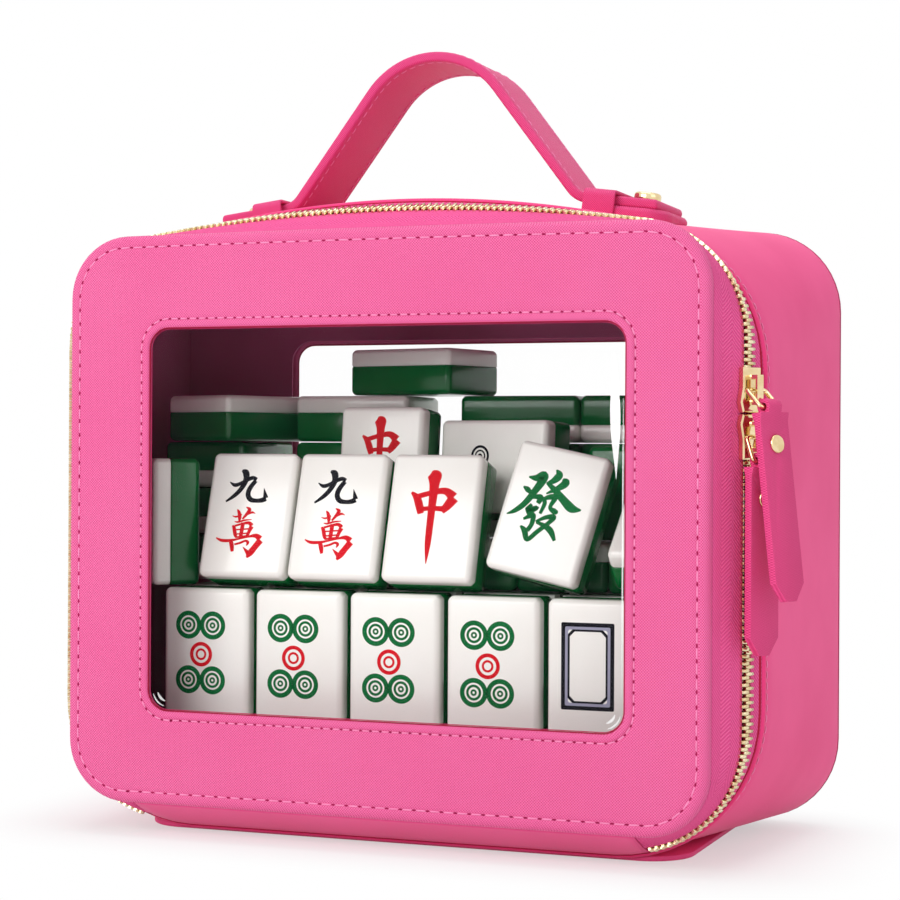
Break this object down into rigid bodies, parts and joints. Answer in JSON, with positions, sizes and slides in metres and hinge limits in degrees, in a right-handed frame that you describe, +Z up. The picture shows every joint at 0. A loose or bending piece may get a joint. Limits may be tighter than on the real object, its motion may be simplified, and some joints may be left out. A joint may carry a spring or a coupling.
{
  "type": "mahjong case",
  "caption": "Zip-around leather carry case with a clear window in its lid, an arched top handle and mahjong tiles stacked inside.",
  "frame": {"origin": "middle of the resting face under the leather base panel", "axes": "+Z up, -Y out of the windowed lid, +X towards the side that carries the zip sliders"},
  "size_m": [0.2423, 0.11, 0.2425],
  "materials": {
    "pink_leather": "satin",
    "trim_leather": "satin",
    "board": "matt",
    "lining": "matt",
    "film": "clear",
    "zip_tape": "matt",
    "zip_metal": "polished",
    "gold_metal": "polished",
    "tile_ivory": "gloss",
    "tile_green": "gloss"
  },
  "bodies": {
    "case": {"gusset": "pink_leather", "wall_board": "board", "wall_lining": "lining", "body_rim": "trim_leather", "base_panel": "pink_leather", "back_cover": "pink_leather", "back_board": "board", "back_lining": "lining", "back_window": "film", "back_window_trim": "trim_leather", "body_zip_tape": "zip_tape", "body_teeth": "zip_metal", "body_teeth_run": "zip_metal", "hinge_strip": "pink_leather", "handle_tab_left": "pink_leather", "handle_tab_right": "pink_leather", "handle_strap": "pink_leather", "handle_keeper_left": "pink_leather", "handle_keeper_right": "pink_leather", "handle_stud_left": "gold_metal", "handle_stud_right": "gold_metal", "floor_tiles_ivory": "tile_ivory", "floor_tiles_green": "tile_green", "front_tiles_ivory": "tile_ivory", "front_tiles_green": "tile_green", "standing_tiles_ivory": "tile_ivory", "standing_tiles_green": "tile_green", "leaning_tiles_ivory": "tile_ivory", "leaning_tiles_green": "tile_green", "stacked_tiles_ivory": "tile_ivory", "stacked_tiles_green": "tile_green"},
    "lid": {"lid_cover": "pink_leather", "lid_board": "board", "lid_lining": "lining", "lid_window": "film", "lid_window_trim": "trim_leather", "lid_zip_tape": "zip_tape", "lid_teeth": "zip_metal", "lid_teeth_run": "zip_metal"},
    "slider_upper": {"slider_upper": "gold_metal"},
    "slider_lower": {"slider_lower": "gold_metal"},
    "ring_upper": {"ring_upper": "gold_metal"},
    "ring_lower": {"ring_lower": "gold_metal"},
    "pull_upper": {"pull_upper": "pink_leather", "pull_rivet_upper": "gold_metal"},
    "pull_lower": {"pull_lower": "pink_leather", "pull_rivet_lower": "gold_metal"}
  },
  "joints": [
    {"name": "lid_hinge", "type": "hinge", "parent": "case", "child": "lid", "pos_m": [0, -0.0521, 0.0105], "axis": [1, 0, 0], "range_deg": [0, 90], "deforming": ["lid_teeth", "lid_teeth_run"]},
    {"name": "slider_upper_travel", "type": "slide", "parent": "case", "child": "slider_upper", "axis": [0, 0, 1], "range_m": [0, 0.007], "deforming": ["lid_teeth_run", "body_teeth_run"]},
    {"name": "slider_lower_travel", "type": "slide", "parent": "case", "child": "slider_lower", "axis": [0, 0, 1], "range_m": [-0.0756, 0], "deforming": ["lid_teeth_run", "body_teeth_run"]},
    {"name": "ring_upper_swing", "type": "hinge", "parent": "slider_upper", "child": "ring_upper", "pos_m": [0.11063, -0.04231, 0.1356], "axis": [-0.5123, -0.8588, 0], "range_deg": [0, 110]},
    {"name": "ring_lower_swing", "type": "hinge", "parent": "slider_lower", "child": "ring_lower", "pos_m": [0.11063, -0.04231, 0.1225], "axis": [-0.5123, -0.8588, 0], "range_deg": [0, 4]},
    {"name": "pull_upper_swing", "type": "hinge", "parent": "ring_upper", "child": "pull_upper", "pos_m": [0.11522, -0.04505, 0.13078], "axis": [-0.5123, -0.8588, 0], "range_deg": [0, 65]},
    {"name": "pull_lower_swing", "type": "hinge", "parent": "ring_lower", "child": "pull_lower", "pos_m": [0.11294, -0.04369, 0.11582], "axis": [-0.5123, -0.8588, 0], "range_deg": [0, 6]}
  ]
}
